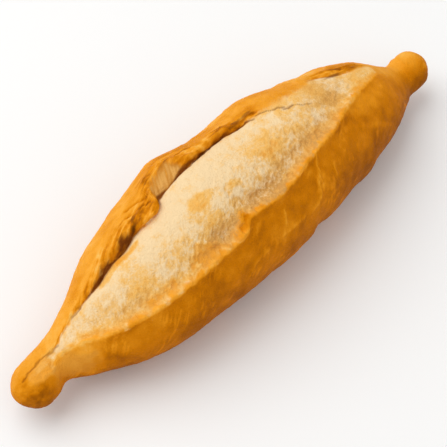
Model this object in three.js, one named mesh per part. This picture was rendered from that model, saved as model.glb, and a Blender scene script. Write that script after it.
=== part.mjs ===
// A bread roll: long and plump, with a small knob at each end and one lengthwise slash along its top.
// Millimetres, +Z up. The roll lies along X on its flat base, and its slash opens towards -Y.
import * as THREE from 'three';
import { mergeVertices } from 'three/addons/utils/BufferGeometryUtils.js';

// Overall sizes: tip to tip, across the belly, and from the table to the top of the belly
const LENGTH = 190;
const WIDTH = 52;
const HEIGHT = 43;

// How far the round of the belly would reach below the table, had it not baked flat there
const BASE_SINK = 3;

// The pinched knobs at the ends: length from tip to neck, radius of the ball and of the neck, height of
// the axis above the table, and how far the ball and the neck stand over towards +Y
const NEAR_KNOB = { length: 17, radius: 7.3, neck: 7.1, height: 12, lean: 0.2, neckLean: 0.9 };
const FAR_KNOB = { length: 14.5, radius: 6.7, neck: 6.6, height: 11.8, lean: 0.3, neckLean: -0.3 };

// The shape of a knob: share of its length from the tip, and share of its radius there
const KNOB_ROUND = [
  { along: 0, fullness: 0 },
  { along: 0.08, fullness: 0.52 },
  { along: 0.31, fullness: 0.95 },
  { along: 0.64, fullness: 1 },
];

// A knob is a little lower than it is wide
const KNOB_SQUASH = 0.95;

// The belly between the two necks: share of the way to the far neck, share of the full width there, and
// how far the middle of the section stands over towards +Y
const BELLY = [
  { along: 0.05, fullness: 0.41, lean: -0.8 },
  { along: 0.125, fullness: 0.655, lean: -1.5 },
  { along: 0.24, fullness: 0.865, lean: -0.8 },
  { along: 0.38, fullness: 1, lean: 0.7 },
  { along: 0.53, fullness: 0.96, lean: 0 },
  { along: 0.68, fullness: 0.9, lean: 0.8 },
  { along: 0.81, fullness: 0.74, lean: 0.7 },
  { along: 0.9, fullness: 0.6, lean: 0.6 },
  { along: 0.96, fullness: 0.39, lean: -0.3 },
];

// The slash: distance of its ends from the near and the far tip, depth of the crevice under its back
// edge, height of the lip behind the crevice, and how wide that lip is around the roll
const SLASH_FROM_NEAR_TIP = 14;
const SLASH_FROM_FAR_TIP = 30;
const SLASH_DEPTH = 3;
const LIP_HEIGHT = 1.2;
const LIP_SPREAD = THREE.MathUtils.degToRad(16);

// Angles are measured around the roll's axis: 0 is the +Y side, a quarter turn is the top
const CREVICE_ANGLE = THREE.MathUtils.degToRad(77);

// Where the slash's front edge runs: share of the slash's length, and degrees around the roll
const FRONT_EDGE = [
  { along: 0, degrees: 108 },
  { along: 0.15, degrees: 128 },
  { along: 0.33, degrees: 141 },
  { along: 0.6, degrees: 134 },
  { along: 0.8, degrees: 124 },
  { along: 1, degrees: 100 },
];

// Facets along the roll and around it
const RINGS = 66;
const COLUMNS = 52;

// How loosely the outline swings through its sections
const CURVE_TENSION = 0.5;

const CRUST = { color: 0xd38a2e, roughness: 0.62, metalness: 0 };

/** The section at one place along the roll: half its width and height, and the middle of it. */
function section(x, halfWidth, halfHeight, middleY, middleZ) {
  return { x, halfWidth, halfHeight, middleY, middleZ };
}

/** The sections of one knob, from its tip to its neck; side is -1 for the near end and 1 for the far. */
function knobSections(knob, side) {
  const ball = KNOB_ROUND.map(({ along, fullness }) => {
    const x = side * (LENGTH / 2 - along * knob.length);
    const radius = fullness * knob.radius;
    return section(x, radius, radius * KNOB_SQUASH, knob.lean, knob.height);
  });
  const neckX = side * (LENGTH / 2 - knob.length);
  const neck = section(neckX, knob.neck, knob.neck * KNOB_SQUASH, knob.neckLean, knob.height);
  return [...ball, neck];
}

/** The sections of the belly. Its middle climbs from a knob's axis as the belly fills out. */
function bellySections() {
  const halfWidth = WIDTH / 2;
  const halfHeight = (HEIGHT + BASE_SINK) / 2;
  const middleZ = HEIGHT - halfHeight;
  const start = -LENGTH / 2 + NEAR_KNOB.length;
  const end = LENGTH / 2 - FAR_KNOB.length;
  return BELLY.map(({ along, fullness, lean }) => {
    const neckFullness = THREE.MathUtils.lerp(NEAR_KNOB.neck, FAR_KNOB.neck, along) / halfWidth;
    const knobHeight = THREE.MathUtils.lerp(NEAR_KNOB.height, FAR_KNOB.height, along);
    const climb = (fullness - neckFullness) / (1 - neckFullness);
    const x = THREE.MathUtils.lerp(start, end, along);
    const z = THREE.MathUtils.lerp(knobHeight, middleZ, climb);
    return section(x, fullness * halfWidth, fullness * halfHeight, lean, z);
  });
}

const sections = [
  ...knobSections(NEAR_KNOB, -1),
  ...bellySections(),
  ...knobSections(FAR_KNOB, 1).reverse(),
];

/** A smooth curve through one point of every section. */
function curveThrough(pointOf) {
  return new THREE.CatmullRomCurve3(sections.map(pointOf), false, 'catmullrom', CURVE_TENSION);
}

const sizeCurve = curveThrough((s) => new THREE.Vector3(s.x, s.halfWidth, s.halfHeight));
const middleCurve = curveThrough((s) => new THREE.Vector3(s.x, s.middleY, s.middleZ));
const frontEdgeCurve = new THREE.SplineCurve(
  FRONT_EDGE.map(({ along, degrees }) => new THREE.Vector2(along, THREE.MathUtils.degToRad(degrees)))
);

/** How far the slash lowers or lifts the crust, at a place along the roll and an angle around it. */
function slashRelief(x, angle) {
  const start = -LENGTH / 2 + SLASH_FROM_NEAR_TIP;
  const end = LENGTH / 2 - SLASH_FROM_FAR_TIP;
  const share = THREE.MathUtils.clamp((x - start) / (end - start), 0, 1);
  const opening = Math.sin(Math.PI * share);
  const frontEdge = frontEdgeCurve.getPoint(share).y;
  if (angle < CREVICE_ANGLE) {
    const away = (CREVICE_ANGLE - angle) / LIP_SPREAD;
    return LIP_HEIGHT * opening * Math.exp(-away * away);
  }
  const across = (angle - CREVICE_ANGLE) / (frontEdge - CREVICE_ANGLE);
  const floor = 1 - THREE.MathUtils.smoothstep(across, 0, 1);
  return -SLASH_DEPTH * opening * floor;
}

/** The point of the crust at a share of the way from the near to the far tip, at an angle around. */
function crustPoint(share, angle) {
  const size = sizeCurve.getPoint(share);
  const middle = middleCurve.getPoint(share);
  const relief = slashRelief(size.x, angle);
  const y = middle.y + (size.y + relief) * Math.cos(angle);
  const z = middle.z + (size.z + relief) * Math.sin(angle);
  return new THREE.Vector3(size.x, y, Math.max(z, 0));
}

/** The whole roll: a ball with its poles at the two tips, drawn out to the roll's sections. */
function rollGeometry() {
  const ball = new THREE.SphereGeometry(1, COLUMNS, RINGS);
  ball.deleteAttribute('normal');
  ball.deleteAttribute('uv');
  ball.rotateZ(Math.PI / 2);
  const geometry = mergeVertices(ball);
  const { position } = geometry.attributes;
  for (let i = 0; i < position.count; i += 1) {
    const share = Math.acos(THREE.MathUtils.clamp(-position.getX(i), -1, 1)) / Math.PI;
    const angle = Math.atan2(position.getZ(i), position.getY(i));
    const point = crustPoint(share, angle);
    position.setXYZ(i, point.x, point.y, point.z);
  }
  return geometry;
}

/** Moves a geometry so that the middle of its underside is at the origin. */
function standAtOrigin(geometry) {
  geometry.computeBoundingBox();
  const { min, max } = geometry.boundingBox;
  geometry.translate(-(min.x + max.x) / 2, -(min.y + max.y) / 2, -min.z);
}

const geometry = rollGeometry();
standAtOrigin(geometry);
geometry.computeVertexNormals();

const breadRoll = new THREE.Mesh(geometry, new THREE.MeshStandardMaterial(CRUST));
breadRoll.name = 'bread_roll';

const part = new THREE.Group();
part.add(breadRoll);

export default part;
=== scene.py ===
"""A baked bread roll: a plump golden roll, knobbed at both ends, with one floured slash along its top.

The roll lies along X on its flat base. Its near knob is at -X, its far knob at +X, and the slash opens
towards -Y. Shapes are worked out in millimetres and turned to metres once the crust is finished.
"""

import bisect
import logging
import math
from dataclasses import astuple, dataclass, fields
from enum import Enum
from typing import Iterable

import bmesh
import bpy
from mathutils import Matrix, Vector, noise


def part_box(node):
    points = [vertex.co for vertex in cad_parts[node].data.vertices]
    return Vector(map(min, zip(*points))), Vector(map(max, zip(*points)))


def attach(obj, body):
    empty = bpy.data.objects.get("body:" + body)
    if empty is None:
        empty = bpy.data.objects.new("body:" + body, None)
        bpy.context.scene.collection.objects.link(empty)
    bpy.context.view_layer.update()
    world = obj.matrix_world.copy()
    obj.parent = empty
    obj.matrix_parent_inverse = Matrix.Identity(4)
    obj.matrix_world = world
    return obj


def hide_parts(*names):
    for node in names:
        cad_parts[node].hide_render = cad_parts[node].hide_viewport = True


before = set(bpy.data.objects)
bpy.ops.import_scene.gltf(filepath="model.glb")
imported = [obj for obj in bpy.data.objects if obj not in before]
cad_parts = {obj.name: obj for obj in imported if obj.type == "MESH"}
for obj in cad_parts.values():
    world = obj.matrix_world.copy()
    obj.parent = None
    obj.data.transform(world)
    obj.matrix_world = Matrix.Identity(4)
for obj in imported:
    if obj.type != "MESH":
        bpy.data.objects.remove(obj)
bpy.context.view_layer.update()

log = logging.getLogger("bread_roll")

MM = 0.001
CAD_NODE = "bread_roll"
# How far the torn lip stands over the body, in millimetres
LIP_STAND = 0.6


# --- Small helpers ---


def clamp(value: float, low: float = 0.0, high: float = 1.0) -> float:
    """The value, kept between low and high."""
    return max(low, min(high, value))


def mix(low: float, high: float, share: float) -> float:
    """The number that lies at a share of the way from low to high."""
    return low + (high - low) * share


def rise(low: float, high: float, value: float) -> float:
    """A smooth climb from 0 at low to 1 at high."""
    share = clamp((value - low) / (high - low))
    return share * share * (3.0 - 2.0 * share)


def hump(distance: float, spread: float) -> float:
    """A smooth hump: 1 at no distance, fading out over a few spreads."""
    return math.exp(-((distance / spread) ** 2))


def grain(x: float, y: float, z: float, size: float, octaves: int = 1) -> float:
    """Uneven natural variation, about -1 to 1.

    Args:
        x: Place along the roll, in millimetres.
        y: Place across the roll, in millimetres.
        z: Height, in millimetres.
        size: How far apart its lumps are, in millimetres.
        octaves: How many finer sizes are laid over the first.

    Returns:
        The variation at that place.
    """
    place = Vector((x / size, y / size, z / size))
    if octaves == 1:
        return noise.noise(place)
    return noise.fractal(place, 0.8, 2.1, octaves)


def put(name: str, data: bpy.types.ID) -> bpy.types.Object:
    """Puts a new object with this data in the scene."""
    made = bpy.data.objects.new(name, data)
    bpy.context.scene.collection.objects.link(made)
    return made


def put_mesh(name: str, mesh: bmesh.types.BMesh) -> bpy.types.Object:
    """Puts a finished mesh in the scene as an object."""
    data = bpy.data.meshes.new(name)
    mesh.to_mesh(data)
    mesh.free()
    return put(name, data)


@dataclass(frozen=True)
class Line:
    """A smooth line through given stations, each a place along the roll and a value there."""

    stations: tuple[tuple[float, float], ...]

    def at(self, place: float) -> float:
        """The line's value at a place; it stays level beyond its two ends.

        Args:
            place: Place along the roll, in millimetres.

        Returns:
            The value there.
        """
        stations = self.stations
        if place <= stations[0][0]:
            return stations[0][1]
        if place >= stations[-1][0]:
            return stations[-1][1]
        index = bisect.bisect_right(stations, (place, math.inf)) - 1
        start, end = stations[index], stations[index + 1]
        span = end[0] - start[0]
        share = (place - start[0]) / span
        lead = self._slope(index) * span
        trail = self._slope(index + 1) * span
        square = share * share
        cube = square * share
        return (
            (2.0 * cube - 3.0 * square + 1.0) * start[1]
            + (cube - 2.0 * square + share) * lead
            + (3.0 * square - 2.0 * cube) * end[1]
            + (cube - square) * trail
        )

    def _slope(self, index: int) -> float:
        """How steeply the line climbs at a station."""
        before = self.stations[max(index - 1, 0)]
        after = self.stations[min(index + 1, len(self.stations) - 1)]
        return (after[1] - before[1]) / (after[0] - before[0])


# --- The roll's plain body ---


@dataclass(frozen=True)
class Section:
    """The roll cut across at one place: half its width and height, and where its middle is."""

    x: float
    half_width: float
    half_height: float
    middle_y: float
    middle_z: float


@dataclass(frozen=True)
class Knob:
    """A pinched end of the roll: a ball of dough on a neck."""

    length: float
    radius: float
    neck: float
    height: float
    lean: float
    neck_lean: float
    squash: float = 0.95
    roundness: tuple[tuple[float, float], ...] = ((0.0, 0.0), (0.08, 0.52), (0.31, 0.95), (0.64, 1.0))

    def sections(self, tip: float, side: int) -> list[Section]:
        """The knob's sections, from its tip to its neck.

        Args:
            tip: Distance of the tip from the middle of the roll.
            side: -1 for the near end, 1 for the far end.

        Returns:
            One section for each step of its roundness, and one at the neck.
        """
        made = []
        for along, fullness in self.roundness:
            radius = fullness * self.radius
            x = side * (tip - along * self.length)
            made.append(Section(x, radius, radius * self.squash, self.lean, self.height))
        x = side * (tip - self.length)
        made.append(Section(x, self.neck, self.neck * self.squash, self.neck_lean, self.height))
        return made


@dataclass(frozen=True)
class Body:
    """The roll's body before it was slashed: a belly drawn out to a knob at each end."""

    length: float
    width: float
    height: float
    base_sink: float = 3.0
    near_knob: Knob = Knob(17.0, 7.3, 7.1, 12.0, 0.2, 0.9)
    far_knob: Knob = Knob(14.5, 6.7, 6.6, 11.8, 0.3, -0.3)
    belly: tuple[tuple[float, float, float], ...] = (
        (0.05, 0.41, -0.8), (0.125, 0.655, -1.5), (0.24, 0.865, -0.8), (0.38, 1, 0.7), (0.53, 0.96, 0),
        (0.68, 0.9, 0.8), (0.81, 0.74, 0.7), (0.9, 0.6, 0.6), (0.96, 0.39, -0.3),
    )

    def sections(self) -> list[Section]:
        """Every section that the body passes through, from the near tip to the far one."""
        near = self.near_knob.sections(self.length / 2.0, -1)
        far = self.far_knob.sections(self.length / 2.0, 1)
        return near + self._belly_sections(near[-1].x, far[-1].x) + far[::-1]

    def _belly_sections(self, start: float, end: float) -> list[Section]:
        """The sections between the two necks.

        Args:
            start: Place of the near neck.
            end: Place of the far neck.

        Returns:
            One section for each step of the belly; its middle climbs as the belly fills out.
        """
        half_width = self.width / 2.0
        half_height = (self.height + self.base_sink) / 2.0
        middle_z = self.height - half_height
        made = []
        for along, fullness, lean in self.belly:
            neck = mix(self.near_knob.neck, self.far_knob.neck, along) / half_width
            knob_height = mix(self.near_knob.height, self.far_knob.height, along)
            climb = (fullness - neck) / (1.0 - neck)
            z = mix(knob_height, middle_z, climb)
            x = mix(start, end, along)
            made.append(Section(x, fullness * half_width, fullness * half_height, lean, z))
        return made


class BodyCurve:
    """A smooth curve through the body's sections, with even steps along its crust."""

    STEPS_PER_SECTION = 40

    def __init__(self, body: Body) -> None:
        """Threads the curve through a body's sections."""
        rows = [astuple(section) for section in body.sections()]
        self.rows = [self._across_tip(rows[1]), *rows, self._across_tip(rows[-2])]
        self.spans = len(rows) - 1
        self.lengths = self._crust_lengths()

    @staticmethod
    def _across_tip(row: tuple[float, ...]) -> tuple[float, ...]:
        """The sizes that carry the curve on past a tip, so that it closes round there."""
        x, half_width, half_height, middle_y, middle_z = row
        return x, -half_width, -half_height, middle_y, middle_z

    def section(self, place: float) -> Section:
        """The section at a place counted in stations from the near tip."""
        index = min(int(place), self.spans - 1)
        share = place - index
        values = []
        for a, b, c, d in zip(*self.rows[index : index + 4]):
            bend = 2.0 * a - 5.0 * b + 4.0 * c - d
            twist = -a + 3.0 * b - 3.0 * c + d
            values.append(0.5 * (2.0 * b + ((twist * share + bend) * share + (c - a)) * share))
        return Section(*values)

    def _crust_lengths(self) -> list[float]:
        """How far along the crust each small step of the curve lies from the near tip."""
        lengths = [0.0]
        last = self.section(0.0)
        for step in range(1, self.spans * self.STEPS_PER_SECTION + 1):
            here = self.section(step / self.STEPS_PER_SECTION)
            lengths.append(lengths[-1] + math.hypot(here.x - last.x, here.half_width - last.half_width))
            last = here
        return lengths

    def section_at_share(self, share: float) -> Section:
        """The section that lies a share of the way along the crust from tip to tip."""
        wanted = share * self.lengths[-1]
        step = min(bisect.bisect_left(self.lengths, wanted), len(self.lengths) - 1)
        step = max(step, 1)
        before, after = self.lengths[step - 1], self.lengths[step]
        part = (wanted - before) / (after - before)
        return self.section((step - 1 + part) / self.STEPS_PER_SECTION)


# --- The slash and the marks on the crust ---


class Layer(Enum):
    """What is painted on the crust, point by point."""

    FLOUR = "flour"
    # Baked colour of the crust, with painted shade down its front, its underside and just below the rim
    BAKE = "bake"
    TOAST = "toast"
    # Greyer tan of the dips behind the rim: partly their own colour, partly painted shade
    ASH = "ash"
    TORN = "torn"
    # Dark paint of the crevice and the cracks: partly baked colour, partly painted shade in the crevice
    CRACK = "crack"
    # Painted shade in the grooves between the skin's wrinkles
    LEATHER = "leather"


FLOUR, BAKE, TOAST, ASH, TORN, CRACK, LEATHER = Layer


@dataclass(frozen=True)
class Slash:
    """The lengthwise cut that opened in the oven.

    Its back edge is a crevice under a torn lip, and its front edge is a low rim of crust. Angles run
    around the roll in degrees: 0 is the back, 90 the top and 180 the front.
    """

    start: float = -83.0
    end: float = 69.0
    opens_over: tuple[float, float] = (-2.0, 6.0)
    closes_over: tuple[float, float] = (-8.0, 1.0)
    lip_spread: float = 4.5
    overhang_spread: float = 2.5
    wall_spread: float = 1.3
    dip_place: float = 4.0
    dip_spread: float = 6.0
    rim_inside: float = 1.1
    rim_outside: float = 1.7
    crevice: Line = Line((
        (-84, 92), (-77, 87), (-74.5, 78), (-69, 69), (-64, 74), (-58, 77), (-52.7, 75.5), (-47, 78.5),
        (-41.5, 78), (-34.5, 83), (-30, 82), (-27.6, 75.2), (-23.6, 73.6), (-10.5, 71.8), (-3.5, 68.4),
        (2, 66.3), (5, 66.6), (9.6, 70.2), (38, 71), (46, 66), (53.4, 75), (63, 79), (70, 77),
    ))
    front: Line = Line((
        (-83, 112), (-78, 110), (-73.6, 112), (-67.7, 124.6), (-62.8, 131.7), (-52.2, 138), (-40, 139.9),
        (-21.2, 140.2), (-18.6, 139.8), (-15.9, 138.2), (-13.9, 134.6), (-12.4, 131.6), (-7, 131.8),
        (0.5, 132.2), (7.7, 130.3), (16.8, 126.5), (26.6, 123.4), (32.6, 122.2), (40.7, 115.6),
        (54.3, 106.4), (70, 95),
    ))
    crevice_depth: Line = Line((
        (-79, 0), (-66, 0.3), (-61.5, 0.9), (-56, 1.6), (-50, 1.7), (-44, 1.9), (-40, 1.1), (-36, 0.4),
        (-31, 0.3), (-28.5, 0.8), (-26.5, 1.7), (-10, 1.7), (-3, 1.4), (4, 1.3), (8, 0.9), (12, 0.3),
        (14, 0), (42, 0), (46, 0.3), (57, 0.5), (63, 0),
    ))
    lip_height: Line = Line((
        (-79, 0), (-70, 0.05), (-64, 0.25), (-58, 0.5), (-52, 0.8), (-46, 1.3), (-42, 1.5), (-33, 1.6),
        (-29.5, 1.4), (-26, 1), (-18, 1.2), (-8, 1.1), (0, 0.9), (6, 0.8), (12, 0.4), (18, 0), (40, 0),
        (46, 0.5), (56, 0.6), (62, 0.2), (66, 0),
    ))
    lip_back: Line = Line((
        (-79, 0.8), (-62, 0.8), (-59, 1.2), (-56, 1.5), (-53, 2.3), (-50, 1.8), (-47, 2), (-45, 2.9),
        (-42, 2.3), (-40, 1), (-30, 1), (-28.4, 3.4), (-26, 6.5), (-21.7, 8.6), (-18.4, 8.3),
        (-15.7, 6.2), (-13.3, 3.6), (-11.5, 1.6), (-8, 1.3), (-3, 1.6), (3, 1.8), (8, 1.6), (12, 1),
        (42, 1), (46, 2.4), (54, 2.2), (62, 1),
    ))
    overhang: Line = Line((
        (-79, 0), (-62, 0.3), (-55, 0.4), (-45, 0.5), (-40, 0.8), (-33, 0.9), (-29.5, 0.8), (-27, 0.2),
        (-14, 0.3), (-8, 0.7), (4, 0.8), (9, 0.4), (14, 0), (42, 0), (50, 0.3), (60, 0),
    ))
    torn_back: Line = Line((
        (-78, 0.5), (-66, 2), (-58, 4.5), (-50, 7), (-43, 9), (-35, 10), (-28, 12), (-21, 13.5),
        (-14, 11), (-6, 7), (4, 6), (10, 6), (16, 3.5), (22, 0), (42, 0), (47, 3), (52, 4.6), (58, 5),
        (64, 3.5), (68, 0.5),
    ))
    # These two lines paint the crevice dark: partly its baked colour, partly painted shade in the undercut
    # under the lip
    burn_width: Line = Line((
        (-79, 0.4), (-62, 0.9), (-58, 1.4), (-53, 2.3), (-50, 1.7), (-47, 1.9), (-44.5, 2.7), (-42, 2),
        (-40, 0.9), (-36, 0.5), (-29, 0.9), (-26, 1.5), (-12, 1.4), (-8, 1.1), (2, 1.4), (8, 1),
        (12, 0.7), (46, 1), (62, 0.8),
    ))
    burn: Line = Line((
        (-79, 0), (-72, 0.05), (-66, 0.3), (-62, 0.8), (-56, 1), (-43, 1), (-39.5, 0.4), (-36, 0.1),
        (-30, 0.15), (-28, 0.9), (-5, 1), (4, 1), (9, 0.7), (13, 0.2), (16, 0), (42, 0), (47, 0.3),
        (55, 0.35), (62, 0.1),
    ))
    flour_fade: Line = Line((
        (-80, 1.6), (-66, 1.6), (-60, 3.2), (-52, 3.8), (-44, 4), (-38, 1.2), (8, 0.9), (14, 4.5),
        (24, 7.5), (36, 7.5), (42, 4.5), (47, 3), (66, 3),
    ))
    wrinkles: Line = Line((
        (-80, 0.3), (-60, 0.7), (-40, 0.8), (-20, 1.15), (0, 1.2), (15, 1.1), (30, 0.65), (45, 0.5),
        (62, 0.3),
    ))
    rim_height: Line = Line((
        (-82, 0.1), (-76, 0.4), (-70, 1), (-58, 1.5), (-40, 1.2), (-24, 1.2), (-13.5, 1.7), (0, 1.4),
        (20, 1.4), (36, 1.3), (46, 0.8), (62, 0.1),
    ))
    dip_depth: Line = Line((
        (-78, 0.1), (-60, 0.9), (-45, 0.9), (-32, 0.9), (-22, 1.8), (-14, 1.3), (-7, 2), (4, 1.6),
        (25, 1.3), (42, 1), (60, 0.1),
    ))

    # Sizes that fade out where the slash closes
    FADING = ("crevice_depth", "lip_height", "overhang", "burn", "wrinkles", "rim_height", "dip_depth")

    def opening(self, x: float) -> float:
        """How far the slash is open at a place along the roll, from 0 to 1."""
        opened = rise(self.start + self.opens_over[0], self.start + self.opens_over[1], x)
        closed = rise(self.end + self.closes_over[0], self.end + self.closes_over[1], x)
        return opened * (1.0 - closed)

    def values(self, x: float) -> dict[str, float]:
        """The value of each of the slash's lines at a place along the roll."""
        made = {}
        for item in fields(self):
            line = getattr(self, item.name)
            if isinstance(line, Line):
                made[item.name] = line.at(x) * (self.opening(x) if item.name in self.FADING else 1.0)
        return made


@dataclass(frozen=True)
class Crease:
    """A fold, vein or crack in the crust, along a few points given as (place, angle)."""

    points: tuple[tuple[float, float], ...]
    width: float
    height: float
    paint: dict[Layer, float]

    def reaches(self, x: float) -> bool:
        """Whether the crease comes near a place along the roll."""
        margin = 3.0 * self.width
        places = [place for place, _ in self.points]
        return min(places) - margin < x < max(places) + margin

    def shown(self, x: float, degrees: float, radius: float) -> float:
        """How strongly the crease shows at a point of the crust.

        Args:
            x: The point's place along the roll.
            degrees: The point's angle around the roll.
            radius: Half the roll's width there, which turns angles into lengths.

        Returns:
            1 on the crease, fading to 0 beside it.
        """
        arc = math.radians(1.0) * radius
        nearest = math.inf
        for (x0, a0), (x1, a1) in zip(self.points, self.points[1:]):
            along = Vector((x1 - x0, (a1 - a0) * arc))
            to_point = Vector((x - x0, (degrees - a0) * arc))
            share = clamp(to_point.dot(along) / along.length_squared)
            nearest = min(nearest, (to_point - along * share).length)
        return hump(nearest, self.width)


CREASES = (
    # The flap where the front rim tore and stepped up into the slash
    Crease(((-18.6, 136.6), (-16, 132.6), (-13.4, 126.6)), 1.25, 1,
           {TOAST: 0.6, FLOUR: -0.7, BAKE: 0.05}),
    Crease(((-15.8, 136), (-14.2, 133.4), (-12.9, 129)), 0.8, 0.3, {BAKE: 0.22, FLOUR: -0.6}),
    # The toasted fold that runs down to the rim before the flap
    Crease(((-30.4, 122), (-27.5, 128.7), (-23.1, 137)), 0.6, 0.6, {TOAST: 0.45}),
    # The broken crack that leaves the crevice and crosses the slash
    Crease(((9.5, 70), (12.5, 70), (15.4, 73.5)), 0.38, -0.25, {CRACK: 0.75}),
    Crease(((17, 71.5), (21.4, 75.7), (25.7, 81.4)), 0.32, -0.2, {CRACK: 0.7}),
    Crease(((25, 83), (29.3, 86.1)), 0.36, -0.2, {CRACK: 0.7}),
    Crease(((29.8, 87.6), (34.3, 92.5)), 0.28, -0.15, {CRACK: 0.55}),
    # The crescent crack over the scar on the near knob, and the step under it
    Crease(((-91.1, 99.2), (-88.9, 88.6), (-84.8, 83.6), (-79.4, 86)), 0.32, -0.3, {CRACK: 0.5}),
    Crease(((-89.8, 116), (-87, 124.7), (-81.3, 124)), 0.6, 0.4, {BAKE: -0.1}),
    Crease(((-80.4, 91.7), (-76.6, 89.9)), 0.5, -0.3, {CRACK: 0.45}),
    Crease(((-68.7, 71), (-65.6, 74)), 0.4, -0.3, {CRACK: 0.5}),
    # Folds in the bulge of crust beside the pocket
    Crease(((-36, 56), (-32, 60), (-29, 66)), 0.5, -0.5, {BAKE: 0.3}),
    Crease(((-38, 63), (-34.5, 67), (-30.5, 72)), 0.5, -0.4, {BAKE: 0.24}),
    # Thin paler veins where the front crust stretched
    Crease(((20.6, 126), (16.9, 143.5), (12.7, 161.1), (3.3, 159.2), (-4, 160.5)), 0.38, 0.42,
           {BAKE: -0.22}),
    Crease(((-1.8, 153.5), (-0.3, 143)), 0.42, 0.4, {BAKE: -0.24}),
    Crease(((25.5, 140.5), (23.6, 153.5)), 0.38, 0.35, {BAKE: -0.18}),
    Crease(((-21, 174), (-17, 164), (-11, 162)), 0.38, 0.32, {BAKE: -0.18}),
    Crease(((44, 138), (50, 144), (57, 160)), 0.8, 0.28, {BAKE: -0.14}),
    # Low ridges that climb from the far part of the rim into the slash
    Crease(((18.5, 122), (21, 114)), 0.8, 0.4, {TOAST: 0.3}),
    Crease(((24.6, 121), (26.4, 113), (29, 106.7)), 0.7, 0.45, {ASH: -0.3}),
    Crease(((50.4, 81.3), (46.5, 91), (43, 100.7)), 0.6, 0.4, {ASH: 0.2}),
)


@dataclass(frozen=True)
class Patch:
    """A soft oval mark on the crust, such as a toasted spot."""

    x: float
    degrees: float
    length: float
    breadth: float
    layer: Layer
    strength: float

    def at(self, x: float, degrees: float, radius: float, wobble: float) -> float:
        """How strongly the mark shows at a point of the crust.

        Args:
            x: The point's place along the roll.
            degrees: The point's angle around the roll.
            radius: Half the roll's width there.
            wobble: Uneven variation that roughens the mark's edge.

        Returns:
            0 outside the mark, up to its strength inside.
        """
        along = (x - self.x) / (self.length / 2.0)
        across = (degrees - self.degrees) * math.radians(1.0) * radius / (self.breadth / 2.0)
        reach = math.hypot(along, across) + 0.45 * wobble
        return self.strength * (1.0 - rise(0.55, 1.25, reach))


PATCHES = (
    # Toasted spots in the flour
    Patch(-20, 101, 11, 5.5, TOAST, 0.45),
    Patch(-9, 107, 8, 3.6, TOAST, 0.3),
    Patch(-46, 131, 9, 3.5, TOAST, 0.3),
    Patch(-54, 82, 13, 2.6, TOAST, 0.5),
    Patch(-44.5, 85, 8, 2.4, TOAST, 0.6),
    Patch(-22, 116, 8, 3, TOAST, 0.15),
    Patch(-30, 131, 11, 6.5, TOAST, 0.35),
    Patch(12, 95, 26, 12, TOAST, 0.2),
    # Leathery dips behind the rim, painted a greyer tan that is partly their own colour and partly painted
    # shade
    Patch(-21, 129, 13, 6.5, ASH, 0.8),
    Patch(-2, 126, 22, 8.5, ASH, 1.1),
    Patch(14, 119, 24, 8.5, ASH, 0.6),
    Patch(30, 112, 26, 7.5, ASH, 0.5),
    Patch(42, 98, 12, 6, ASH, 0.4),
    Patch(43, 86, 18, 13, TOAST, 0.12),
    Patch(42, 84, 19, 14, ASH, 0.45),
    Patch(-57, 122, 12, 4, ASH, 0.4),
    # Darker and paler stretches of the back and of the front crust
    Patch(-10, 46, 40, 14, BAKE, 0.18),
    Patch(20, 44, 26, 12, BAKE, 0.06),
    Patch(-14, 152, 34, 15, BAKE, -0.06),
    # Painted shadow under the overhang of the rim
    Patch(38, 123.5, 13, 3.6, BAKE, 0.12),
    # More darker and paler stretches of the crust
    Patch(-70.5, 123, 10, 4.5, TORN, -0.25),
    Patch(-62.5, 137.5, 10, 3.6, BAKE, 0.08),
    Patch(-57, 62, 15, 5, BAKE, -0.1),
    Patch(51, 120, 19, 9, BAKE, -0.15),
    # Brown marks in the torn crust
    Patch(-34, 74, 13, 6, BAKE, 0.24),
    Patch(11, 63.5, 4, 1.7, CRACK, 0.75),
    Patch(15.5, 64.5, 4.5, 1.6, CRACK, 0.65),
    Patch(14, 63, 16, 5, BAKE, 0.22),
    Patch(51, 74, 8, 1.8, CRACK, 0.45),
    Patch(60.5, 75.5, 7, 1.4, CRACK, 0.3),
    Patch(56, 64, 22, 5, BAKE, 0.22),
    # The bared scar on the near knob, and the darker crust around it
    Patch(-85, 107, 10, 6, FLOUR, 0.7),
    Patch(-86.5, 104, 13, 11, TOAST, 0.6),
    Patch(-76, 143, 15, 12, TORN, 0.3),
    Patch(-76, 143, 15, 14, BAKE, -0.14),
    # Painted shade under the step below the scar, partly darker crust
    Patch(-85.5, 146, 14, 5.5, BAKE, 0.08),
)


# --- The baked roll ---


@dataclass(frozen=True)
class Lumps:
    """Uneven variation: how far apart its lumps are, how much they count, and its octaves."""

    size: float
    amount: float
    octaves: int = 1


@dataclass(frozen=True)
class Streaks:
    """Drawn-out variation: its slant from the roll's length, in degrees, its sizes and its octaves."""

    slant: float
    length: float
    width: float
    octaves: int = 2


@dataclass(frozen=True)
class Region:
    """A part of the crust that fades out softly around a place and an angle."""

    x: float
    degrees: float
    length: float
    breadth: float

    def at(self, x: float, degrees: float) -> float:
        """How near a point is to its middle, from 0 to 1."""
        return hump(degrees - self.degrees, self.breadth) * hump(x - self.x, self.length)


# The streaky peak of crust over the pocket, and the pale crust by the near neck
PEAK = Region(-12.0, 49.0, 24.0, 15.0)
NEAR_NECK = Region(-75.0, 138.0, 7.0, 26.0)
CRUST_LUMPS = (Lumps(22.0, 0.45), Lumps(6.0, 0.17, 2), Lumps(1.8, 0.07, 2))
SHADE_LUMPS = (Lumps(14.0, 0.12, 3), Lumps(5.0, 0.07, 2))
TORN_FOLDS = Streaks(-8.0, 7.0, 1.5, 3)
TORN_BROWNING = Streaks(0.0, 8.0, 1.4, 3)
CRUMB_FIBRES = Streaks(-55.0, 7.0, 0.9)
PEAK_FOLDS = Streaks(6.0, 9.0, 1.8)
SKIN_MARKS = Streaks(-48.0, 4.0, 1.1)
SKIN_WRINKLES = Streaks(-45.0, 2.6, 1.4)


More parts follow.
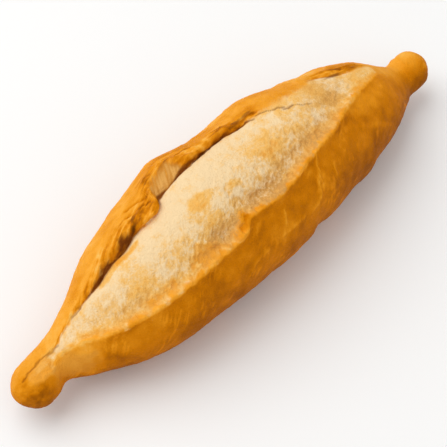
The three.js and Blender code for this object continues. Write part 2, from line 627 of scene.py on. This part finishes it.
@dataclass(frozen=True)
class BrowningAndShade:
    """How dark each part of the crust is painted, from 0, pale gold, to 1, dark brown: how it baked, and
    painted shade that darkens the front, the underside and the crust just below the rim.
    """

    back: float = 0.235
    under: float = 0.75
    # Darker just below the rim: partly baked colour, partly painted shade
    below_rim: float = 0.55
    front: float = 0.68
    tip: float = 0.45
    torn: float = 0.16
    torn_streaks: float = 0.45
    torn_lumps: float = 0.2
    rim: float = 0.04
    far_front: float = 0.08
    near_neck: float = -0.2
    near_tip: float = 0.1
    near_tip_specks: float = 0.16
    peak_streaks: float = 0.26
    pale_marks: float = -0.14


@dataclass(frozen=True)
class Toasting:
    """How much each part of the flour toasted."""

    even: float = 0.08
    front_third: float = 0.2
    rim: float = 0.4
    back: float = 0.45
    far_end: float = 0.04
    blotches: float = 0.25
    specks: float = 0.12
    rim_specks: float = 0.34
    rim_reach: float = 7.0
    rim_reach_past_flap: float = 3.4


@dataclass(frozen=True)
class Ring:
    """Everything that holds all the way around the roll at one place along it."""

    section: Section
    radius: float
    opening: float
    crevice: float
    front: float
    crevice_depth: float
    lip_height: float
    lip_back: float
    overhang: float
    torn_back: float
    burn: float
    burn_width: float
    flour_fade: float
    wrinkles: float
    rim_height: float
    dip_depth: float
    swell: float
    pinch: float
    creases: tuple[Crease, ...]
    patches: tuple[Patch, ...]

    @property
    def x(self) -> float:
        """Place along the roll."""
        return self.section.x


@dataclass(frozen=True)
class Spot:
    """One point of the crust, placed by its angle and by its distances from the slash."""

    ring: Ring
    degrees: float
    around: float
    past_crevice: float
    past_rim: float
    point: Vector
    marks: tuple[tuple[Crease, float], ...]

    def rough(self, size: float, octaves: int = 3) -> float:
        """Uneven variation at this point, with lumps of a size in millimetres."""
        return grain(*self.point, size, octaves)

    def lumps(self, kinds: Iterable[Lumps]) -> float:
        """The sum of several kinds of lumps at this point."""
        return sum(kind.amount * self.rough(kind.size, kind.octaves) for kind in kinds)

    def streaks(self, kind: Streaks) -> float:
        """A kind of streaks at this point, about -1 to 1."""
        turn = math.radians(kind.slant)
        lengthwise = self.ring.x * math.cos(turn) + self.around * math.sin(turn)
        sideways = self.around * math.cos(turn) - self.ring.x * math.sin(turn)
        return grain(lengthwise * kind.width / kind.length, sideways, kind.length, kind.width, kind.octaves)

    @property
    def width(self) -> float:
        """How wide the slash is here, around the roll."""
        return self.past_crevice - self.past_rim

    @property
    def torn_band(self) -> float:
        """How far the point lies inside the rough torn band behind the crevice."""
        back = self.ring.torn_back
        if back <= 0.1:
            return 0.0
        inside = rise(-back, -0.6 * back, self.past_crevice)
        return inside * (1.0 - rise(-0.6, 0.4, self.past_crevice)) * self.ring.opening

    @property
    def peak(self) -> float:
        """How near the point is to the streaky peak of crust over the pocket."""
        return PEAK.at(self.ring.x, self.degrees)

    @property
    def leather(self) -> float:
        """How wrinkled the floured skin is here, growing towards the rim."""
        inside = rise(0.0, 2.0, self.past_crevice) * (1.0 - rise(-0.8, 0.4, self.past_rim))
        return self.ring.wrinkles * inside * (0.12 + 0.88 * rise(-20.0, -5.0, self.past_rim))

    @property
    def wrinkle(self) -> float:
        """The small wrinkles of the skin: 1 along a ridge, down to about -1 in a hollow."""
        return 1.0 - 3.2 * abs(self.streaks(SKIN_WRINKLES))

    @property
    def pocket(self) -> float:
        """How far the point lies inside the wide torn pocket of bared crumb."""
        back = self.ring.lip_back
        ragged = 1.2 * self.rough(3.0)
        inside = rise(-back - 0.8, -back + 4.6, self.past_crevice + ragged)
        return rise(2.8, 6.6, back + ragged) * inside * (1.0 - rise(-0.5, 0.3, self.past_crevice))


@dataclass
class BakedRoll:
    """The roll's crust, with its torn lip, floured slash, folds, veins and baked colours."""

    body: Body
    slash: Slash = Slash()
    creases: tuple[Crease, ...] = CREASES
    patches: tuple[Patch, ...] = PATCHES
    browning: BrowningAndShade = BrowningAndShade()
    toasting: Toasting = Toasting()
    back_swell: Line = Line((
        (-95, -0.5), (-90, -0.5), (-80, 0.45), (-70, 0), (-62, -1.15), (-54, -0.2), (-49, 0.2),
        (-43, -0.25), (-35, -0.1), (-29, -0.5), (-20, 0), (-14.5, 0.75), (-9, 0.1), (-2.5, -0.35),
        (5, 0.1), (12, 0.6), (22, 1.2), (27, 0.7), (35, -0.4), (42, 0.25), (46, -0.1), (54, 0.8),
        (62, -0.1), (68, -0.2), (74, 0.5), (84, 0.2), (95, 0),
    ))
    front_pinch: Line = Line((
        (-95, 0.4), (-88, 0.5), (-79, -0.5), (-72, 0.3), (-66, 0), (-52, 0.6), (-43.5, 0.5), (-32, -0.5),
        (-20, -0.55), (-13, -0.2), (-8, -0.1), (-1, 0.65), (7, 0.35), (10.5, 0.15), (14, -0.8),
        (17.5, -0.6), (21, 0), (35, -0.1), (44, 0.7), (49, -0.2), (60, -0.3), (69, -0.6), (78, 0),
        (86, 0.5), (95, 0),
    ))
    rings: int = 430
    columns: int = 228
    name: str = "baked_roll"

    # The ends of the groups of columns, as shares of a full turn; _angle says where each group lies
    LAYOUT = (0.0, 0.17, 0.39, 0.43, 0.69, 0.80, 0.90, 1.0)
    LEAST_RADIUS = 0.5
    # How far a crease strays from its line, in lumps of what size
    SWAY = 0.7
    SWAY_SIZE = 3.0
    # Where the swells of the back and the front lie around the roll, and how far they spread
    BACK, FRONT, SIDE_SPREAD = 26.0, 203.0, 34.0
    # The crust's own unevenness fades out where a tip is thinner than this
    SMOOTH_TIP = 3.5

    def build(self) -> bpy.types.Object:
        """Shapes the roll from a ball and paints its layers.

        Returns:
            The finished piece, at the origin, in metres.
        """
        mesh = bmesh.new()
        bmesh.ops.create_uvsphere(mesh, u_segments=self.columns, v_segments=self.rings, radius=1.0)
        bmesh.ops.rotate(mesh, verts=mesh.verts, matrix=Matrix.Rotation(-math.pi / 2.0, 3, "Y"))
        layers = {layer: mesh.verts.layers.float.new(layer.value) for layer in Layer}
        rings = self._rings()
        for vert in mesh.verts:
            spot = self._spot(rings, vert.co)
            vert.co = self._crust_point(spot)
            for layer, value in self._paint(spot).items():
                vert[layers[layer]] = value
        self._stand_at_origin(mesh)
        bmesh.ops.scale(mesh, vec=(MM, MM, MM), verts=mesh.verts)
        bmesh.ops.recalc_face_normals(mesh, faces=mesh.faces)
        for face in mesh.faces:
            face.smooth = True
        return put_mesh(self.name, mesh)

    def _rings(self) -> list[Ring]:
        """Every ring of the crust, from the near tip to the far tip."""
        curve = BodyCurve(self.body)
        return [self._ring(curve.section_at_share(index / self.rings)) for index in range(self.rings + 1)]

    def _ring(self, section: Section) -> Ring:
        """Gathers what holds all the way around one section."""
        x = section.x
        return Ring(
            section=section,
            radius=max(section.half_width, self.LEAST_RADIUS),
            opening=self.slash.opening(x),
            **self.slash.values(x),
            swell=self.back_swell.at(x),
            pinch=self.front_pinch.at(x),
            creases=tuple(crease for crease in self.creases if crease.reaches(x)),
            patches=tuple(patch for patch in self.patches if abs(patch.x - x) < patch.length),
        )

    def _spot(self, rings: list[Ring], direction: Vector) -> Spot:
        """Gathers one point of the crust.

        Args:
            rings: Every ring of the crust.
            direction: Where the point lies on the ball that the crust is drawn from.

        Returns:
            The point, on the plain body, with its place among the crust's features.
        """
        polar = math.acos(clamp(-direction.x, -1.0, 1.0)) / math.pi
        ring = rings[round(polar * self.rings)]
        turn = (math.atan2(direction.z, direction.y) / (2.0 * math.pi)) % 1.0
        degrees = self._angle(ring, turn)
        section = ring.section
        angle = math.radians(degrees)
        y = section.middle_y + section.half_width * math.cos(angle)
        z = section.middle_z + section.half_height * math.sin(angle)
        point = Vector((section.x, y, z))
        arc = math.radians(1.0) * ring.radius
        marks = ()
        if ring.creases:
            around = degrees + self.SWAY * grain(*point, self.SWAY_SIZE, 2) / arc
            along = section.x + self.SWAY * grain(*point.zxy, self.SWAY_SIZE, 2)
            marks = tuple((crease, crease.shown(along, around, ring.radius)) for crease in ring.creases)
        past_crevice = (degrees - ring.crevice) * arc
        past_rim = (degrees - ring.front) * arc
        return Spot(ring, degrees, degrees * arc, past_crevice, past_rim, point, marks)

    def _angle(self, ring: Ring, turn: float) -> float:
        """Spreads the columns so that they lie closest where the crust has most detail.

        Args:
            ring: The ring the column crosses.
            turn: The column's share of a full turn.

        Returns:
            Its angle around the roll in degrees, from -90 at the middle of the base.
        """
        back, front = ring.crevice, ring.front
        angles = (-90.0, back - 50.0, back - 2.5, back + 1.5, front - 8.0, front + 8.0, 200.0, 270.0)
        index = min(bisect.bisect_right(self.LAYOUT, turn), len(self.LAYOUT) - 1)
        low, high = self.LAYOUT[index - 1], self.LAYOUT[index]
        return mix(angles[index - 1], angles[index], (turn - low) / (high - low))

    def _crust_point(self, spot: Spot) -> Vector:
        """The finished place of one point of the crust, in millimetres."""
        angle = math.radians(spot.degrees)
        outward = Vector((0.0, math.cos(angle), math.sin(angle)))
        forward = Vector((0.0, -math.sin(angle), math.cos(angle)))
        lift, push = self._slash_relief(spot)
        lift += self._crust_relief(spot)
        point = spot.point + outward * lift + forward * push
        point.z = max(point.z, 0.0)
        return point

    def _slash_relief(self, spot: Spot) -> tuple[float, float]:
        """The shape that the slash gives the crust.

        Args:
            spot: The point of the crust.

        Returns:
            How far it moves outward, and how far it moves forward over the slash, in millimetres.
        """
        ring, slash = spot.ring, self.slash
        if ring.opening <= 0.0:
            return 0.0, 0.0
        ragged = grain(ring.x, 0.0, 7.0, 4.0, 3)
        past_crevice = spot.past_crevice
        past_rim = spot.past_rim + 0.6 * ragged
        lip_back = ring.lip_back * (1.0 + 0.2 * grain(ring.x, 0.0, 7.0, 6.0))
        lip_height = ring.lip_height * (1.0 + 0.3 * grain(ring.x, 3.0, 0.0, 6.0, 2))
        if past_crevice < -lip_back:
            away = -past_crevice - lip_back
            push = ring.overhang * hump(away, slash.overhang_spread)
            return lip_height * hump(away, slash.lip_spread), push
        if past_crevice < 0.0:
            down = 1.0 + past_crevice / lip_back
            drop = down ** mix(0.7, 1.4, rise(2.5, 5.0, lip_back))
            lift = mix(lip_height, -ring.crevice_depth, drop)
            push = mix(ring.overhang, -0.5 * ring.overhang, rise(0.1, 1.0, down))
            return lift, push
        lift = -ring.crevice_depth * math.exp(-past_crevice / slash.wall_spread)
        dip = hump(min(past_rim + slash.dip_place, 0.0), slash.dip_spread)
        lift -= ring.dip_depth * dip * (1.0 - rise(-slash.dip_place, 0.0, past_rim))
        rim_spread = slash.rim_inside if past_rim < 0.0 else slash.rim_outside
        lift += ring.rim_height * (1.0 + 0.5 * ragged) * hump(past_rim, rim_spread)
        push = -0.5 * ring.overhang * math.exp(-past_crevice)
        return lift, push

    def _crust_relief(self, spot: Spot) -> float:
        """The unevenness of the baked crust: lumps, streaks, wrinkles, folds and veins."""
        ring = spot.ring
        lift = spot.lumps(CRUST_LUMPS)
        lift += 0.3 * spot.peak * spot.streaks(PEAK_FOLDS) + 0.1 * spot.streaks(SKIN_MARKS)
        lift += ring.swell * hump(spot.degrees - self.BACK, self.SIDE_SPREAD)
        lift += ring.pinch * hump(spot.degrees - self.FRONT, self.SIDE_SPREAD)
        band = spot.torn_band
        if band > 0.0:
            torn = 0.65 * spot.streaks(TORN_FOLDS) + 0.16 * spot.rough(2.2, 3)
            lift += band * mix(torn, 0.16 * spot.streaks(CRUMB_FIBRES), spot.pocket)
        if spot.past_crevice > 0.0 and spot.past_rim < 0.0:
            lift += spot.leather * (0.2 * spot.wrinkle + 0.15 * spot.rough(1.2, 2))
        for crease, shown in spot.marks:
            lift += crease.height * (1.0 + 0.6 * spot.rough(2.5, 1)) * shown
        return lift * rise(0.0, self.SMOOTH_TIP, ring.section.half_width)

    def _paint(self, spot: Spot) -> dict[Layer, float]:
        """How much of each layer a point of the crust carries."""
        paint = {
            FLOUR: self._flour(spot),
            BAKE: self._bake(spot),
            TOAST: self._toast(spot),
            ASH: 0.0,
            TORN: self._torn(spot),
            CRACK: self._burnt(spot),
            # Painted shade in the hollows between the wrinkles
            LEATHER: spot.leather * clamp(0.55 - 0.6 * spot.wrinkle),
        }
        for crease, shown in spot.marks:
            for layer, strength in crease.paint.items():
                paint[layer] += strength * shown
        wobble = spot.rough(5.0)
        for patch in spot.ring.patches:
            paint[patch.layer] += patch.at(spot.ring.x, spot.degrees, spot.ring.radius, wobble)
        return {layer: clamp(value) for layer, value in paint.items()}

    @staticmethod
    def _flour(spot: Spot) -> float:
        """The pale flour that stayed in the slash."""
        ragged = spot.rough(3.0)
        fade = spot.ring.flour_fade
        reach = min(3.2, 0.3 * spot.width)
        behind = rise(-0.4 * fade, 0.6 * fade, spot.past_crevice + 0.7 * ragged)
        before = 1.0 - rise(-0.6 * reach, 0.2 * reach, spot.past_rim + 0.5 * reach * ragged)
        opening = spot.ring.opening
        return behind * before * rise(0.0, 0.5, opening + ragged * opening * (1.0 - opening))

    def _bake(self, spot: Spot) -> float:
        """How dark the crust is painted, from 0, pale gold, to 1, dark brown: its baked colour, with
        painted shade down the front, the underside and just below the rim.
        """
        x, degrees, ring, brown = spot.ring.x, spot.degrees, spot.ring, self.browning
        # Lighter on the lit back, darker down the front and underside: partly baked colour, partly painted
        # shade
        shade = mix(brown.under, brown.back, rise(-60.0, 15.0, degrees))
        torn = brown.torn_streaks * spot.streaks(TORN_BROWNING) + brown.torn_lumps * spot.rough(2.0, 2)
        shade += spot.torn_band * (brown.torn + torn)
        shade += brown.rim * hump(spot.past_rim, 3.0) * ring.opening
        # The front crust starts sharply at the rim, and softly where the slash is closed; the step is
        # painted light and shade, the lit rim top paler and the crust just below it darker
        ragged_rim = spot.past_rim + 0.4 * spot.rough(3.0) + 0.35 * spot.rough(1.4, 2)
        below_rim = mix(rise(-4.0, 8.0, spot.past_rim), rise(0.1, 1.1, ragged_rim), ring.opening)
        shade = mix(shade, brown.below_rim, below_rim)
        shade = mix(shade, brown.front, rise(ring.front + 8.0, 185.0, degrees))
        shade = mix(shade, brown.under, rise(188.0, 215.0, degrees))
        shade += brown.far_front * rise(25.0, 45.0, x) * rise(140.0, 165.0, degrees)
        shade += brown.near_neck * NEAR_NECK.at(x, degrees)
        near_tip = (1.0 - rise(-91.0, -84.0, x)) * rise(60.0, 110.0, degrees)
        shade += near_tip * (brown.near_tip + brown.near_tip_specks * spot.rough(1.8, 2))
        shade += brown.peak_streaks * spot.peak * spot.streaks(PEAK_FOLDS)
        marks = rise(0.15, 0.5, spot.streaks(SKIN_MARKS)) * rise(-0.1, 0.3, spot.rough(9.0, 1))
        marks *= 0.3 + 0.7 * rise(100.0, 140.0, degrees) * (1.0 - rise(190.0, 215.0, degrees))
        shade = mix(brown.tip, shade, rise(0.0, 4.5, ring.section.half_width))
        return shade + spot.lumps(SHADE_LUMPS) + brown.pale_marks * marks

    def _toast(self, spot: Spot) -> float:
        """The golden toasting of the flour, strongest near the rim."""
        x, toast = spot.ring.x, self.toasting
        past_flap = rise(-15.0, -9.0, x) * (1.0 - rise(14.0, 30.0, x))
        reach = mix(toast.rim_reach, toast.rim_reach_past_flap, past_flap)
        near_rim = rise(-min(reach, 0.4 * spot.width), -0.3, spot.past_rim)
        near_back = rise(2.0, 6.0, spot.ring.flour_fade) * (1.0 - rise(-2.0, 9.0, spot.past_crevice))
        amount = toast.even + toast.front_third * rise(-20.0, -6.0, spot.past_rim)
        amount += toast.rim * near_rim + toast.back * near_back + toast.far_end * rise(-5.0, 30.0, x)
        specks = toast.specks + toast.rim_specks * near_rim
        return amount + toast.blotches * spot.rough(9.0) + specks * spot.rough(2.2, 2)

    @staticmethod
    def _torn(spot: Spot) -> float:
        """The fibrous crumb bared in the wide part of the torn lip."""
        return spot.pocket * (0.7 + 0.5 * spot.streaks(CRUMB_FIBRES))

    @staticmethod
    def _burnt(spot: Spot) -> float:
        """The dark paint down in the crevice: partly its baked colour, partly painted shade in the undercut
        under the lip.
        """
        ring = spot.ring
        ragged = grain(0.25 * ring.x, spot.past_crevice, 6.0, 1.1, 3)
        depth = (0.2 - spot.past_crevice) / ring.burn_width + 0.5 * ragged + 0.3 * spot.rough(6.0, 1)
        ahead = rise(0.0, 0.4 + 0.6 * ring.burn_width, spot.past_crevice + 0.6 * spot.rough(3.5, 2))
        patchy = 1.0 - 0.35 * rise(0.0, 0.5, ragged)
        return ring.burn * patchy * (1.0 - rise(0.4, 1.25, depth)) * (1.0 - ahead)

    @staticmethod
    def _stand_at_origin(mesh: bmesh.types.BMesh) -> None:
        """Moves the crust so that it stands over the origin on its base."""
        places = [vert.co.y for vert in mesh.verts]
        middle = (min(places) + max(places)) / 2.0
        bmesh.ops.translate(mesh, vec=(0.0, -middle, 0.0), verts=mesh.verts)


# --- Finishes ---

Shade = tuple[float, float, float, float]


def srgb(red: int, green: int, blue: int) -> Shade:
    """A colour given in the usual 0 to 255 steps, as the shader wants it."""

    def linear(step: int) -> float:
        """One channel of it."""
        value = step / 255.0
        return value / 12.92 if value <= 0.04045 else ((value + 0.055) / 1.055) ** 2.4

    return linear(red), linear(green), linear(blue), 1.0


@dataclass(frozen=True)
class Signal:
    """A shader socket that takes part in Python arithmetic and adds its Math nodes as it goes."""

    bench: "Bench"
    socket: bpy.types.NodeSocket | None

    def _math(self, operation: str, *values: "Signal | float") -> "Signal":
        """Adds a Math node."""
        return self.bench.node("ShaderNodeMath", {"operation": operation}, dict(enumerate(values)))

    def __add__(self, other: "Signal | float") -> "Signal":
        """This plus the other."""
        return self._math("ADD", self, other)

    def __radd__(self, other: float) -> "Signal":
        """A number plus this."""
        return self._math("ADD", other, self)

    def __sub__(self, other: "Signal | float") -> "Signal":
        """This minus the other."""
        return self._math("SUBTRACT", self, other)

    def __rsub__(self, other: float) -> "Signal":
        """A number minus this."""
        return self._math("SUBTRACT", other, self)

    def __mul__(self, other: "Signal | float") -> "Signal":
        """This times the other."""
        return self._math("MULTIPLY", self, other)

    def __rmul__(self, other: float) -> "Signal":
        """A number times this."""
        return self._math("MULTIPLY", other, self)

    def rise(self, low: float, high: float) -> "Signal":
        """A smooth climb from 0 to 1 as this goes from low to high."""
        settings = {"interpolation_type": "SMOOTHSTEP"}
        inputs = {"Value": self, "From Min": low, "From Max": high}
        return self.bench.node("ShaderNodeMapRange", settings, inputs)


class Bench:
    """Lays out the nodes of one finish."""

    def __init__(self, name: str) -> None:
        """Starts an empty finish with a name."""
        self.material = bpy.data.materials.new(name)
        self.material.use_nodes = True
        self.tree = self.material.node_tree
        self.tree.nodes.clear()

    def node(
        self,
        kind: str,
        settings: dict[str, object] | None = None,
        inputs: dict[str | int, object] | None = None,
        output: str | int = 0,
    ) -> Signal:
        """Adds a node, sets it and then feeds its sockets.

        Args:
            kind: The node's type.
            settings: Its settings, set first; "stops" are a colour ramp's.
            inputs: Values or signals, by socket identifier, name or number.
            output: Which output to hand on.

        Returns:
            The chosen output.
        """
        made = self.tree.nodes.new(kind)
        for key, value in (settings or {}).items():
            if key == "stops":
                self._set_stops(made.color_ramp, value)
            else:
                setattr(made, key, value)
        for key, value in (inputs or {}).items():
            self._feed(self._find(made.inputs, key), value)
        return Signal(self, self._find(made.outputs, output) if len(made.outputs) else None)

    @staticmethod
    def _set_stops(ramp: bpy.types.ColorRamp, stops: tuple[tuple[float, Shade], ...]) -> None:
        """Gives a colour ramp its stops."""
        while len(ramp.elements) < len(stops):
            ramp.elements.new(1.0)
        for element, (place, colour) in zip(ramp.elements, stops):
            element.position = place
            element.color = colour

    @staticmethod
    def _find(sockets: bpy.types.bpy_prop_collection, key: str | int) -> bpy.types.NodeSocket:
        """The socket with that identifier, name or number."""
        if isinstance(key, int):
            return sockets[key]
        return next((socket for socket in sockets if socket.identifier == key), None) or sockets[key]

    def _feed(self, socket: bpy.types.NodeSocket, value: object) -> None:
        """Links a signal to a socket, or sets its value."""
        if isinstance(value, Signal):
            self.tree.links.new(value.socket, socket)
        else:
            socket.default_value = value

    def layer(self, layer: Layer) -> Signal:
        """A layer painted on the crust."""
        settings = {"attribute_name": layer.value, "attribute_type": "GEOMETRY"}
        return self.node("ShaderNodeAttribute", settings, output="Fac")

    def place(self) -> Signal:
        """The place on the object, in millimetres."""
        spot = self.node("ShaderNodeTexCoord", output="Object")
        inputs = {0: spot, 1: (1.0 / MM,) * 3}
        return self.node("ShaderNodeVectorMath", {"operation": "MULTIPLY"}, inputs, output="Vector")

    def grain(self, spot: Signal, size: float, detail: float) -> Signal:
        """Uneven variation, about -0.5 to 0.5, with lumps of a size in millimetres."""
        inputs = {"Vector": spot, "Scale": 1.0 / size, "Detail": detail, "Roughness": 0.55}
        return self.node("ShaderNodeTexNoise", {}, inputs, output="Fac") - 0.5

    def blend(self, low: object, high: object, share: object) -> Signal:
        """A colour between two, by a share."""
        settings = {"data_type": "RGBA", "clamp_factor": True}
        inputs = {"Factor_Float": share, "A_Color": low, "B_Color": high}
        return self.node("ShaderNodeMix", settings, inputs, output="Result_Color")

    def finish(self, shader: dict[str, object]) -> bpy.types.Material:
        """Ends the finish with one Principled shader that takes these inputs."""
        surface = self.node("ShaderNodeBsdfPrincipled", {}, shader, output="BSDF")
        self.node("ShaderNodeOutputMaterial", {}, {"Surface": surface})
        return self.material


@dataclass(frozen=True)
class CrustFinish:
    """The baked crust: gold to brown, with a pale floured slash and a browned crevice; painted shade
    darkens the crevice, the front, the dips behind the rim and the grooves of the skin's wrinkles.
    """

    gold: tuple[tuple[float, Shade], ...] = (
        (0.0, srgb(254, 196, 96)), (0.2, srgb(250, 170, 52)), (0.38, srgb(236, 148, 22)),
        (0.56, srgb(212, 124, 0)), (0.74, srgb(174, 97, 0)), (1.0, srgb(104, 54, 4)),
    )
    cream: Shade = srgb(252, 221, 172)
    tan: Shade = srgb(250, 194, 106)
    toasted: Shade = srgb(244, 164, 54)
    # The dips' greyer tan, partly painted shade
    ash: Shade = srgb(214, 158, 86)
    crumb: Shade = srgb(232, 172, 90)
    crumb_shade: Shade = srgb(208, 142, 60)
    # Dark brown of the crevice and the cracks, partly painted shade
    scorch: Shade = srgb(128, 66, 16)
    mottle_size: float = 3.0
    speck_size: float = 0.6
    relief_depth: float = 0.6 * MM
    crust_roughness: float = 0.55
    flour_roughness: float = 0.3
    specular: float = 0.03

    def material(self) -> bpy.types.Material:
        """Builds the finish."""
        bench = Bench("baked_crust")
        spot = bench.place()
        mottle = bench.grain(spot, self.mottle_size, 4.0)
        fine = bench.grain(spot, self.speck_size, 3.0)
        flour = bench.layer(FLOUR)
        torn = bench.layer(TORN)
        baked = bench.layer(BAKE) + mottle * 0.24 + fine * 0.14
        crust = bench.node("ShaderNodeValToRGB", {"stops": self.gold}, {"Fac": baked}, output="Color")
        # Painted shade in the wrinkles' grooves, which also tans them
        groove_shade = bench.layer(LEATHER)
        toasting = bench.layer(TOAST) + mottle * 0.8 + fine * 0.6 + groove_shade * 0.3
        pale = bench.blend(self.cream, self.tan, toasting.rise(0.05, 0.6))
        pale = bench.blend(pale, self.toasted, toasting.rise(0.45, 1.1))
        # Painted shade in the dips behind the rim, mixed with their greyer tan
        dip_shade = bench.layer(ASH) * (0.6 + mottle * 1.4 + fine * 1.4)
        pale = bench.blend(pale, self.ash, dip_shade + groove_shade * 0.38)
        dusted = (flour + fine * 0.9 + mottle * 0.7).rise(0.15, 0.85)
        colour = bench.blend(crust, pale, dusted)
        crumb = bench.blend(self.crumb_shade, self.crumb, torn.rise(0.45, 0.95))
        colour = bench.blend(colour, crumb, torn.rise(0.0, 0.7))
        # Painted shade in the crevice, partly its baked colour; the same paint darkens the cracks
        colour = bench.blend(colour, self.scorch, bench.layer(CRACK))
        relief = {"Height": fine * 0.9 + mottle, "Strength": 0.8, "Distance": self.relief_depth}
        bump = bench.node("ShaderNodeBump", {}, relief, output="Normal")
        roughness = self.crust_roughness + dusted * self.flour_roughness
        surface = {"Base Color": colour, "Roughness": roughness, "Normal": bump}
        return bench.finish(surface | {"Specular IOR Level": self.specular})


@dataclass(frozen=True)
class FloorFinish:
    """The plain pale floor."""

    colour: Shade = srgb(250, 250, 249)
    roughness: float = 0.9

    def material(self) -> bpy.types.Material:
        """Builds the finish."""
        bench = Bench("pale_floor")
        return bench.finish({"Base Color": self.colour, "Roughness": self.roughness})


# --- The studio ---


@dataclass(frozen=True)
class Softbox:
    """A square soft light."""

    name: str
    place: tuple[float, float, float]
    size: float
    power: float

    def build(self, target: Vector) -> None:
        """Hangs the light, facing the roll.

        Args:
            target: The point it faces.
        """
        data = bpy.data.lights.new(self.name, "AREA")
        data.size = self.size
        data.energy = self.power
        lamp = put(self.name, data)
        lamp.location = self.place
        lamp.rotation_euler = (target - Vector(self.place)).to_track_quat("-Z", "Y").to_euler()


@dataclass(frozen=True)
class Studio:
    """The floor, the lights and the camera."""

    aim: tuple[float, float, float] = (-0.0087, -0.00345, 0.018)
    azimuth: float = -46.38
    elevation: float = 52.57
    distance: float = 0.4715
    lens: float = 120.0
    floor_size: float = 6.0
    clip_start: float = 0.01
    sky: float = 0.6
    softboxes: tuple[Softbox, ...] = (
        Softbox("key_light", (-0.25, 0.5, 0.95), 1.3, 7.6),
        Softbox("fill_light", (-0.3, -0.9, 0.8), 1.2, 1.6),
    )

    def build(self) -> None:
        """Sets up the floor, the lights, the sky and the camera."""
        self._floor()
        for softbox in self.softboxes:
            softbox.build(Vector(self.aim))
        self._sky()
        self._camera()

    def _floor(self) -> None:
        """Lays the floor under the roll."""
        mesh = bmesh.new()
        bmesh.ops.create_grid(mesh, x_segments=1, y_segments=1, size=self.floor_size / 2.0)
        floor = put_mesh("floor", mesh)
        floor.data.materials.append(FloorFinish().material())

    def _sky(self) -> None:
        """Fills the room with even white light."""
        world = bpy.data.worlds.new("studio")
        world.use_nodes = True
        background = world.node_tree.nodes["Background"]
        background.inputs["Color"].default_value = (1.0, 1.0, 1.0, 1.0)
        background.inputs["Strength"].default_value = self.sky
        bpy.context.scene.world = world

    def _camera(self) -> None:
        """Places the camera, level, looking down over the near knob."""
        azimuth = math.radians(self.azimuth)
        elevation = math.radians(self.elevation)
        level = Vector((math.sin(azimuth), -math.cos(azimuth), 0.0))
        back = level * math.cos(elevation) + Vector((0.0, 0.0, math.sin(elevation)))
        data = bpy.data.cameras.new("camera")
        data.lens = self.lens
        data.clip_start = self.clip_start
        camera = put("camera", data)
        camera.location = Vector(self.aim) + back * self.distance
        camera.rotation_euler = (-back).to_track_quat("-Z", "Y").to_euler()
        bpy.context.scene.camera = camera
        bpy.context.scene.view_settings.view_transform = "Standard"


# --- The scene ---


def body_from_frame() -> Body:
    """The roll's body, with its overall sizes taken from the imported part."""
    low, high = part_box(CAD_NODE)
    size = (high - low) / MM
    return Body(length=size.x, width=size.y, height=size.z - LIP_STAND)


def main() -> None:
    """Builds the roll and its studio."""
    logging.basicConfig(level=logging.INFO)
    Studio().build()
    roll = BakedRoll(body_from_frame())
    piece = roll.build()
    piece.data.materials.append(CrustFinish().material())
    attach(piece, "root")
    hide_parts(CAD_NODE)
    log.info("%s: %d faces", piece.name, len(piece.data.polygons))


if __name__ == "__main__":
    main()
